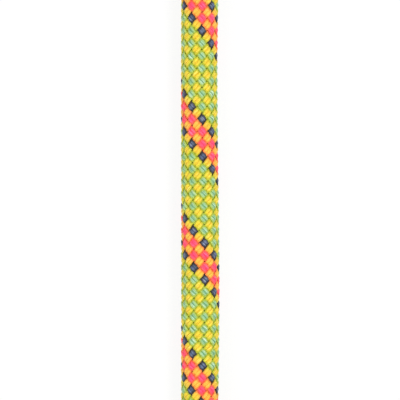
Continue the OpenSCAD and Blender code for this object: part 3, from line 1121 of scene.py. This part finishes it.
# ---------------------------------------------------------------- sub-assemblies


def settle(piece: Piece, body: str, slot: str, *nodes: str) -> Piece:
    """Gives a finished piece its body, and hides the CAD nodes that it stands for."""
    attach(piece, body)
    if nodes:
        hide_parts(*nodes)
    LOG.info("%s: %d faces on %s", piece.name, len(piece.data.polygons), body)
    return piece


def even(points: np.ndarray | list[Point], step: float) -> np.ndarray:
    """The same line with its points a step apart."""
    points = np.array(points)
    along = np.concatenate([[0], np.cumsum(np.linalg.norm(np.diff(points, axis=0), axis=1))])
    at = np.linspace(0, along[-1], max(2, round(along[-1] / step) + 1))
    return np.stack([np.interp(at, along, points[:, k]) for k in range(3)], axis=1)


def lofted(name: str, rows: list, material: Material, capped: bool = False) -> Piece:
    """Spans rows of points, each closed round, with faces.

    Args:
        name: The piece's name.
        rows: For each row, its points, each with its place in the UV map.
        material: What it is made of.
        capped: Whether the first and the last row get a face of their own and edges stay sharp.

    Returns:
        The closed mesh.
    """
    mesh = bmesh.new()
    chart, rings, where = mesh.loops.layers.uv.new("sweep"), [], {}
    for row in rows:
        rings.append([mesh.verts.new(spot) for spot, _ in row])
        where.update(zip(rings[-1], (place for _, place in row)))
    for low, top in zip(rings, rings[1:]):
        for k in range(len(low)):
            mesh.faces.new((low[k - 1], low[k], top[k], top[k - 1]))
    for ring in (rings[0], rings[-1]) if capped else ():
        mesh.faces.new(ring)
    for face in mesh.faces:
        face.smooth = not capped
        for loop in face.loops:
            loop[chart].uv = where[loop.vert]
    bmesh.ops.remove_doubles(mesh, verts=mesh.verts, dist=1e-6)
    bmesh.ops.recalc_face_normals(mesh, faces=mesh.faces)
    data = bpy.data.meshes.new(name)
    mesh.to_mesh(data)
    mesh.free()
    data.materials.append(material)
    outward(data)
    return link(bpy.data.objects.new(name, data))


@dataclass
class Assembly:
    """A part of the object, with what its pieces are made of and grown by.

    Args:
        finishes: The materials.
        growths: The geometry trees.
    """

    finishes: Finishes
    growths: Growths

    @staticmethod
    def grown(growth: Growth, name: str, lines: list, material: Material, **sizes: float) -> Piece:
        """Runs a tree along lines, which are gone afterwards."""
        path = curve(f"{name}_path", *lines)
        piece = growth.run(name, path, material, **sizes)
        bpy.data.objects.remove(path)
        return piece

    def swept(self, growth: Growth, name: str, line: np.ndarray, material: Material, section: tuple,
              **sizes: float) -> Piece:
        """A bar, wire, strap or cord along a line.

        Args:
            growth: One of the two sweeps.
            name: The piece's name.
            line: Its middle.
            material: What it is made of.
            section: Its width, its thickness and the radius of its edges.
            sizes: Whatever differs from a single bar with closed ends on the line itself.

        Returns:
            The piece.
        """
        plain = dict(zip(("Width", "Thickness", "Edge"), section), Count=1, Length=length_of(line), Rings=len(line),
                     Sides=16, Orbit=0, Twist=0, Aside=0, Up=0, Open=0)
        return self.grown(growth, name, [line], material, **(plain | sizes))


@dataclass
class RopeEnd(Assembly):
    """One end of the rope: melted by the knife into a lumpy button, with a sleeve shrunk over it.

    Args:
        line: The rope's middle line.
        cut: The line's last two points at this end, the outer one first.
        start: Where on the line the sleeve starts.
        shift: Where the braid's pattern starts on the line.
        seed: Which lumps the button gets.
        around: Points round the button.
        bevel: Radius of its rim.
        lump: Length of its lumps.
        lump_depth: How far it sinks between them.
        ripple: Length of the ripples on them.
        ripple_depth: How deep those are.
        dome: How far its rim lies below its middle.
        inwards: Share of the sinking that goes inwards.
        low: Share of it that goes down below the rim.
        relief: Depth of the dips where the braid shows through the sleeve.
    """

    line: np.ndarray
    cut: np.ndarray
    start: float
    shift: float
    seed: float
    around: int = 60
    bevel: float = 1.2 * MM
    lump: float = 1.7 * MM
    lump_depth: float = 0.28 * MM
    ripple: float = 0.6 * MM
    ripple_depth: float = 0.07 * MM
    dome: float = 0.35 * MM
    inwards: float = 0.6
    low: float = 0.2
    relief: float = 0.07 * MM

    def outline(self) -> list[tuple[float, float]]:
        """Radius and height of the button's rows, out over its flat side, up and back over its top."""
        radius, high = PLACE.rope_r, PLACE.seal_t
        inner, low = radius - self.bevel, high - self.bevel
        rows = [(radius * k / 4, 0.0) for k in range(5)] + [(radius, low * k / 3) for k in range(1, 4)]
        for turn in (math.pi / 2 * k / 6 for k in range(1, 7)):
            rows.append((inner + self.bevel * math.cos(turn), low + self.bevel * math.sin(turn)))
        return rows + [(inner * k / 9, high) for k in range(8, -1, -1)]

    def melted(self, r: float, h: float, angle: float) -> Vector:
        """A point of the button, sunk between its lumps."""
        radius, high = PLACE.rope_r, PLACE.seal_t
        spot = Vector((r * math.cos(angle), r * math.sin(angle), h))
        if h > 0:
            lump = noise.noise(spot / self.lump + Vector((self.seed, 0, 0)))
            ripple = noise.noise(spot / self.ripple + Vector((0, self.seed, 0)))
            sink = (self.lump_depth * (lump - 1) + self.ripple_depth * ripple) * min(1, h / self.bevel)
            dome = self.dome * (r / radius) ** 2 if h >= high else 0
            spot = spot + Vector((spot.x, spot.y, 0)).normalized() * sink * self.inwards
            spot.z += (sink - dome) * (1 if h > high - self.bevel else self.low)
        return spot

    def build(self, seal: tuple[str, str], sleeve: tuple[str, str]) -> list[Piece]:
        """Builds the button and the sleeve, each from its name and its CAD node."""
        at = Vector(self.cut[0])
        turn = (at - Vector(self.cut[1])).to_track_quat("Z", "Y").to_matrix()
        angles = [math.tau * k / self.around for k in range(self.around)]
        rows = [[(at + turn @ self.melted(r, h, angle), (r, h)) for angle in angles] for r, h in self.outline()]
        button = settle(lofted(seal[0], rows, self.finishes.melted), BODY, "melted_end", seal[1])
        inner = PLACE.rope_r + PLACE.sleeve_gap
        tube = self.grown(self.growths.sleeve, sleeve[0], [self.line], self.finishes.sleeve, From=self.start,
                          Length=PLACE.sleeve_len, Rings=240, Sides=96, Inner=inner, Outer=inner + PLACE.sleeve_t,
                          Relief=self.relief, **BRAID.pattern(self.shift))
        return [button, settle(tube, BODY, "sleeve", sleeve[1])]


@dataclass
class Stretch(Assembly):
    """The straight length of rope: sheath yarns, core strands, tape, sealed end and sleeve.

    Args:
        steps: Rings of a yarn for each crossing.
        sides: Points round a yarn.
        core_r: The core's radius.
        ring_strands: Core strands in the outer ring.
        middle_strands: Core strands inside that ring.
        strands_across: How many strands fit side by side across the core.
        strand_gap: Room between the middle strands.
        ply_turn: Length in which a strand's plies go once round.
        overlap: How far the yarns run on under the hank's first crossings.
        tape_r: Radius that the tape is curved to.
        tape_w: The tape's width.
        tape_t: Its thickness.
    """

    steps: int = 6
    sides: int = 8
    core_r: float = 3.65 * MM
    ring_strands: int = 9
    middle_strands: int = 3
    strands_across: float = 4.16
    strand_gap: float = 0.06 * MM
    ply_turn: float = 9 * MM
    overlap: float = 1.2 * MM
    tape_r: float = 3.75 * MM
    tape_w: float = 2.6 * MM
    tape_t: float = 0.08 * MM

    def build(self) -> None:
        """Builds every piece."""
        self.points = np.array(PLACE.stretch())
        sheath = self.sheath()
        end = RopeEnd(self.finishes, self.growths, self.points, self.points[:-3:-1],
                      PLACE.stretch_len - PLACE.sleeve_len, BRAID.shift, 1.0)
        rest = [*sheath[1:], *self.core(), self.tape(),
                *end.build(("melted_rope_end", "end_seal"), ("shrunk_sleeve", "end_sleeve"))]

    def sheath(self) -> list[Piece]:
        """The four colours of yarn. The first is the one that the cord is declared on."""
        # The yarns run on under the hank's first crossings, so that no seam shows
        way = self.points[0] - self.points[1]
        line = np.vstack([self.points[0] + way / np.linalg.norm(way) * self.overlap, self.points])
        length = length_of(line)
        sizes = dict(Length=length, Overlap=self.overlap, Rings=round(length / BRAID.row) * self.steps,
                     Sides=self.sides, Middle=BRAID.middle, Lift=BRAID.lift, Thickness=BRAID.yarn_thick,
                     Waves_End=PLACE.stretch_len - PLACE.sleeve_len, Ramp=BRAID.ramp, **BRAID.pattern(BRAID.shift))
        for name, wave in BRAID.waves.items():
            sizes |= {f"{name} {part.title()}": value for part, value in vars(wave).items()}
        # For each colour its hand, its first strand, the step to its next one, and how many it has
        laid = {Dye.YELLOW: (1, 0, 1, 10), Dye.MINT: (-1, 4, 1, 6), Dye.NAVY: (-1, 0, 3, 2), Dye.PINK: (-1, 1, 1, 2)}
        pieces = []
        for dye, (hand, first, step, strands) in laid.items():
            wide, sway = (BRAID.yarn_width, BRAID.sway) if hand > 0 else (BRAID.fine_width, BRAID.fine_sway)
            piece = self.grown(self.growths.yarns, f"sheath_yarns_{dye.name.lower()}", [line],
                               self.finishes.round[dye], Count=2 * strands, Width=wide, Sway=sway, Hand=hand,
                               First_Strand=first, Strand_Step=step, **sizes)
            pieces.append(settle(piece, BODY, "sheath", "sheath"))
        return pieces

    def core(self) -> list[Piece]:
        """Twelve twisted cords, nine in a ring round three."""
        across = 2 * self.core_r / self.strands_across
        ring_r = self.core_r - across / 2
        middle_r = (across + self.strand_gap) / 2 / math.sin(math.pi / self.middle_strands)
        ply = across / (1 + 2 / math.sqrt(3))
        pieces = []
        for k in range(1, self.ring_strands + self.middle_strands + 1):
            if k <= self.ring_strands:
                r, angle = ring_r, math.tau * k / self.ring_strands
            else:
                r, angle = middle_r, math.tau * k / self.middle_strands + math.pi / self.ring_strands
            piece = self.swept(
                self.growths.sweep, f"core_cord_{k}", self.points, self.finishes.core, (ply, ply, ply / 2), Count=3,
                Rings=120, Sides=8, Orbit=(across - ply) / 2, Twist=(1 if k % 2 else -1) / self.ply_turn,
                Aside=r * math.cos(angle), Up=-r * math.sin(angle))
            pieces.append(settle(piece, BODY, "core", f"core_strand_{k}"))
        return pieces

    def tape(self) -> Piece:
        """The marker tape between core and sheath, curved round the core."""
        rows = []
        for k, (x, y, z) in enumerate(self.points[::2]):
            row = []
            for n in (-1, 1):
                r = self.tape_r + n * self.tape_t / 2
                for u in np.linspace(-1, 1, 9) * -n:
                    angle = u * self.tape_w / 2 / self.tape_r
                    row.append(((x + r * math.cos(angle), y, z - r * math.sin(angle)), (u / 2 + 0.5, k * 2 * MM)))
            rows.append(row)
        tape = lofted("identification_tape", rows, self.finishes.tape, capped=True)
        return settle(tape, BODY, "tape", "marker_tape")


@dataclass
class Hank(Assembly):
    """The rest of the rope, folded in four layers.

    Args:
        top: Radius of a crossing's cell in its middle.
        side: Its radius halfway along its sides.
        corner: Its radius at its corners.
        ground: Least height of a point.
    """

    top: float = 4.92 * MM
    side: float = 4.68 * MM
    corner: float = 4.4 * MM
    ground: float = 0.05 * MM

    def build(self) -> None:
        """Builds a piece for each layer, one after another, and the rope's other end."""
        marks = [k * PLACE.layer_loops for k in range(PLACE.layers)] + [PLACE.end_turn]
        lines = [np.array(PLACE.turns(first, last))[::-1] for first, last in zip(marks, marks[1:])]
        lines[0] = np.vstack([lines[0], PLACE.lead()[::-1]])
        pieces, shift = [], BRAID.shift
        # The pattern runs back from the straight length through the layers
        for k, line in enumerate(lines):
            long = length_of(line)
            shift -= long
            first, last = math.ceil(shift / BRAID.row), math.floor((shift + long) / BRAID.row)
            piece = self.grown(
                self.growths.cells, f"hank_layer_{k + 1}", [line], self.finishes.flat[Dye.YELLOW],
                First_Row=first - 2, Rows=last - first + 5, From=0.0, To=long, Top=self.top, Side=self.side,
                Corner=self.corner, Ground=self.ground, **BRAID.pattern(shift))
            pieces.append(settle(piece, BODY, "sheath", "hank"))
        end = RopeEnd(self.finishes, self.growths, line, line[:2], 0.0, shift, 5.0)
        rest = end.build(("melted_hank_end", "hank_end_seal"), ("shrunk_hank_sleeve", "hank_end_sleeve"))
        for piece, line in zip(pieces, lines):
            last = piece is pieces[-1]


@dataclass(frozen=True)
class Panel:
    """Hook or loop tape that is sewn to the strap.

    Args:
        kind: Which of the two.
        long: Its length.
        inset: How far before the tail's tip it ends.
        z: Height of the webbing that it lies on.
        face: 1 where its bristles point up and -1 where they point down.
        seam: Height of the side that its stitches show on.
        body: What it rides on.
        pitch: From one bristle to the next.
        wire: Radius of a bristle at its foot.
        lean: How far its tip bends over.
    """

    kind: str
    long: float
    inset: float
    z: float
    face: int
    seam: float
    body: str
    pitch: float
    wire: float
    lean: float


@dataclass
class Tie(Assembly):
    """The strap round the hank: webbing, ring, hook and loop panels and stitches.

    Args:
        stitch: From one stitch to the next.
        thread: The thread's thickness.
        thread_rise: How thick a stitch stands.
        margin: From a panel's edge to its seam.
        webbing_edge: Radius of the webbing's edges.
        bend: Length over which the tail would bend where it peels, though nothing here bends it.
    """

    stitch: float = 2.4 * MM
    thread: float = 0.55 * MM
    thread_rise: float = 0.4 * MM
    margin: float = 1.4 * MM
    webbing_edge: float = 0.6 * MM
    bend: float = 6 * MM

    def at(self, x: float, z: float) -> Point:
        """A point over the hank's middle line, from its place across the rope and its height."""
        return PLACE.hank_x + x, PLACE.hank_y, z

    def fold(self, side: int, first: float, last: float) -> list[Point]:
        """The strap's middle round one bar of the ring, from one angle to another."""
        r = PLACE.fold_in + PLACE.strap_t / 2
        middle = PLACE.ring_x + side * PLACE.bar_x
        return [self.at(middle + r * math.cos(t), PLACE.bar_z + r * math.sin(t))
                for t in np.radians(np.linspace(first, last, 17))]

    def around(self) -> list[Point]:
        """The strap's middle round the rope, from over its top left to over its top right."""
        r = PLACE.rope_r + PLACE.strap_gap + PLACE.strap_t / 2
        low, high = PLACE.low_z, PLACE.high_z
        runs = [(x, z) for x in (PLACE.left_x, PLACE.right_x) for z in (low, high)]
        runs.append((PLACE.right_x + PLACE.turn_step, (low + high) / 2))
        points = []
        # A hair less than a full turn, so that it starts on the left and ends on the right
        for t in np.radians(np.linspace(90.01, 449.99, 240)):
            x, z = max(runs, key=lambda c: c[0] * math.cos(t) + c[1] * math.sin(t))
            points.append(self.at(x + r * math.cos(t), z + r * math.sin(t)))
        return points

    def build(self) -> None:
        """Builds every piece."""
        self.band()
        self.ring()
        self.tail()
        tail_low = PLACE.tail_z - PLACE.strap_t / 2
        self.panel(Panel("hook", PLACE.hook_len, 2 * MM, tail_low, -1, tail_low + PLACE.strap_t, TAIL_BODY,
                         1.25 * MM, 0.11 * MM, 0.5 * MM))
        self.panel(Panel("loop", PLACE.loop_len, 0.0, PLACE.band_top, 1, PLACE.band_top + PLACE.panel_t * 0.5, BODY,
                         0.85 * MM, 0.08 * MM, 0.7 * MM))

    def ribbon(self, name: str, points: list[Point]) -> Piece:
        """Webbing along a line of points."""
        section = PLACE.strap_w, PLACE.strap_t, self.webbing_edge
        return self.swept(self.growths.strap, name, even(points, 1 * MM), self.finishes.webbing, section)

    def band(self) -> None:
        """The strap from its sewn end over one bar, round the rope and up to the other bar."""
        half = PLACE.strap_t / 2
        sewn = PLACE.ring_x - PLACE.bar_x
        rise = sewn - PLACE.sewn_len / 3
        start = [self.at(x, PLACE.band_top + half) for x in (sewn - PLACE.sewn_len, rise)]
        points = start + self.fold(-1, 90, -90) + self.around()
        points.append(self.at(PLACE.ring_x + PLACE.bar_x, PLACE.band_top - half))
        settle(self.ribbon("strap_band", points), BODY, "webbing", "tie_band")
        # A box with a cross holds the sewn end
        corners, lines = self.box(sewn - PLACE.sewn_len + 1.6 * MM, rise - 0.6 * MM, PLACE.strap_w / 2 - 2.4 * MM)
        self.seam("sewn_end_stitches", lines + [corners[::2], corners[1::2]], PLACE.band_top + PLACE.strap_t, BODY)

    def ring(self) -> None:
        """The bent wire ring. Its joint is in the middle of a short bar."""
        bend = PLACE.ring_bend
        x, y = PLACE.bar_x - bend, PLACE.strap_w / 2 + PLACE.ring_gap
        points = [(0.0, y + bend)]
        for cx, cy, first in ((-x, y, 90), (-x, -y, 180), (x, -y, 270), (x, y, 360)):
            for t in np.radians(np.linspace(first, first + 90, 13)):
                points.append((cx + bend * math.cos(t), cy + bend * math.sin(t)))
        points.append(points[0])
        line = [(PLACE.hank_x + PLACE.ring_x + px, PLACE.hank_y + py, PLACE.bar_z) for px, py in points]
        wire = PLACE.ring_d
        piece = self.swept(self.growths.sweep, "strap_ring", even(line, 0.35 * MM), self.finishes.steel,
                           (wire, wire, wire / 2), Length=length_of(np.array(line)), Rings=220, Sides=20, Open=1)
        settle(piece, BODY, "ring", "tie_ring")

    def tail(self) -> None:
        """The strap's tail, with its fold round the bar."""
        middle = PLACE.ring_x + PLACE.bar_x
        points = self.fold(1, 270, 90) + [self.at(middle + PLACE.tail_len, PLACE.tail_z)]
        piece = self.ribbon("strap_tail_end", points)
        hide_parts("tie_tail")
        self.at(middle, PLACE.tail_z)
        self.at(middle + self.bend, PLACE.tail_z)
        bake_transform(piece)
        LOG.info("%s: %d faces across the joint", piece.name, len(piece.data.polygons))

    def panel(self, panel: Panel) -> None:
        """The ground of a panel, its bristles and its seam."""
        long, wide, base = panel.long, PLACE.strap_w - 2 * MM, PLACE.panel_t * 0.5
        x = PLACE.ring_x + PLACE.bar_x + PLACE.tail_len - long - panel.inset
        dress = panel.body, panel.kind, f"tie_{panel.kind}_panel"
        material = getattr(self.finishes, panel.kind)
        line = even([self.at(place, panel.z + panel.face * base / 2) for place in (x, x + long)], 1 * MM)
        ground = self.swept(self.growths.strap, f"{panel.kind}_panel", line, material, (wide, base, base * 0.4),
                            Rings=round(long / MM))
        settle(ground, *dress)
        # Bristles keep 1.5 mm off the panel's rim
        room, rows = long - 3 * MM, wide - 3 * MM
        home = self.at(x + long / 2, panel.z + panel.face * base * 0.9)
        bristles = self.grown(
            self.growths.nap, f"{panel.kind}_bristles", [[home, home]], material, Long=room, Wide=rows,
            Rows=round(rows / panel.pitch), Columns=round(room / panel.pitch), **dict(zip("XYZ", home)),
            Height=PLACE.panel_t * 0.5, Wire=panel.wire, Lean=panel.lean, Face=panel.face)
        settle(bristles, *dress)
        _, lines = self.box(x + self.margin, x + long - self.margin, wide / 2 - self.margin)
        self.seam(f"{panel.kind}_panel_stitches", lines, panel.seam, panel.body)

    @staticmethod
    def box(left: float, right: float, side: float) -> tuple[list, list]:
        """The corners of a box of stitches, and its four sides as pairs of them."""
        corners = [(left, -side), (right, -side), (right, side), (left, side)]
        return corners, list(zip(corners, corners[1:] + corners[:1]))

    def seam(self, name: str, lines: list, z: float, body: str) -> None:
        """Stitches on top of the webbing.

        Args:
            name: The piece's name.
            lines: Pairs of points, each a distance across the rope and one along it.
            z: Height of the surface.
            body: What they ride on.
        """
        runs = []
        for line in lines:
            first, last = (Vector((PLACE.hank_x + x, PLACE.hank_y + y, z)) for x, y in line)
            half = (last - first).normalized() * self.stitch / 2
            runs.append(even([first + half, last - half], self.stitch))
        piece = self.grown(self.growths.stitches, name, runs, self.finishes.thread, Pitch=self.stitch,
                           Thread=self.thread, Rise=self.thread_rise)
        settle(piece, body, "webbing")


# ---------------------------------------------------------------- stage


@dataclass(frozen=True)
class Stage:
    """Camera, lights and a pale floor.

    Args:
        view: Height and width that the camera takes in where the rope lies.
        low_edge: How far past the hank's top the view starts.
        distance: Height of the camera over the rope.
        aside: How far to the rope's side the camera stands.
        ambient: Strength of the world's light.
        glow: Share of the backdrop's own white in the floor, which leaves a soft shadow.
        half_floor: Half the floor's side.
        lamps: Place in metres, width in metres and power in watts.
    """

    view: float = 103.6 * MM
    low_edge: float = 17.2 * MM
    distance: float = 1.2
    aside: float = 0.06 * MM
    ambient: float = 0.5
    glow: float = 0.86
    half_floor: float = 4.0
    lamps: ClassVar[dict[str, tuple[Point, float, float]]] = {
        "key": ((0.55, 0.35, 1.1), 0.5, 8.7),
        "fill": ((-0.75, 0.1, 0.9), 0.9, 4.3),
        "back": ((0.0, -0.9, 0.9), 0.9, 3.0),
    }

    def build(self) -> None:
        """Builds the camera, the lamps, the world and the floor."""
        scene = bpy.context.scene
        scene.view_settings.view_transform = "Standard"
        self.camera(scene)
        for name, (place, size, power) in self.lamps.items():
            lamp = bpy.data.lights.new(name, "AREA")
            lamp.shape, lamp.size, lamp.energy = "DISK", size, power
            light = link(bpy.data.objects.new(name, lamp))
            light.location = place
            light.rotation_euler = (Vector(place) * -1).to_track_quat("-Z", "Y").to_euler()
        self.world(scene)
        self.floor()

    def camera(self, scene: bpy.types.Scene) -> None:
        """The camera, straight above the rope."""
        data = bpy.data.cameras.new("camera")
        camera = link(bpy.data.objects.new("camera", data))
        y = PLACE.stretch_y + self.low_edge + self.view / 2
        camera.location = (PLACE.stretch_x + self.aside, y, PLACE.rope_r + self.distance)
        data.lens = data.sensor_width * self.distance / self.view
        data.clip_start, data.clip_end = 0.05, 20.0
        scene.camera = camera

    @staticmethod
    def seen(tree: bpy.types.NodeTree) -> Wire:
        """One for rays from the camera, a mirror or glass, and nought for others."""
        rays = add(tree, "ShaderNodeLightPath").outputs
        camera, mirror, glass = (Wire(rays[f"Is {kind} Ray"]) for kind in ("Camera", "Glossy", "Transmission"))
        return camera.reckon("MAXIMUM", mirror).reckon("MAXIMUM", glass)

    def world(self, scene: bpy.types.Scene) -> None:
        """A backdrop that looks white and lights the object with its own strength."""
        scene.world = bpy.data.worlds.new("studio")
        scene.world.use_nodes = True
        tree = scene.world.node_tree
        tree.nodes.clear()
        shown = self.seen(tree) * (1.0 - self.ambient) + self.ambient
        sky = add(tree, "ShaderNodeBackground", {"Color": linear("FFFFFF"), "Strength": shown})
        add(tree, "ShaderNodeOutputWorld", {0: sky.outputs[0]})

    def floor(self) -> None:
        """A wide white sheet of paper: matt, and as bright as the backdrop to the camera, with a soft shadow kept."""
        finish = Finish("white_backdrop_paper")
        colour = finish.blend(finish.specks(0.4 * MM, 3.0), "F4F4F4", "FAFAFA")
        matt = finish.node("ShaderNodeBsdfDiffuse", {"Color": colour})
        glow = finish.node("ShaderNodeEmission", {"Color": linear("FFFFFF"), "Strength": 1.0})
        share = self.seen(finish.tree) * self.glow
        mixed = finish.node("ShaderNodeMixShader", {0: share, 1: matt.outputs[0], 2: glow.outputs[0]})
        finish.node("ShaderNodeOutputMaterial", {0: mixed.outputs[0]})
        half = self.half_floor
        data = bpy.data.meshes.new("floor")
        data.from_pydata([(-half, -half, 0), (half, -half, 0), (half, half, 0), (-half, half, 0)], [], [(0, 1, 2, 3)])
        data.materials.append(finish.material)
        link(bpy.data.objects.new("floor", data))


def main() -> None:
    """Builds the scene."""
    logging.basicConfig(level=logging.INFO, format="%(name)s: %(message)s")
    Stage().build()
    finishes = Finishes()
    growths = Growths(finishes)
    for assembly in (Stretch, Hank, Tie):
        assembly(finishes, growths).build()
    for growth in vars(growths).values():
        bpy.data.node_groups.remove(growth.tree)


if __name__ == "__main__":
    main()
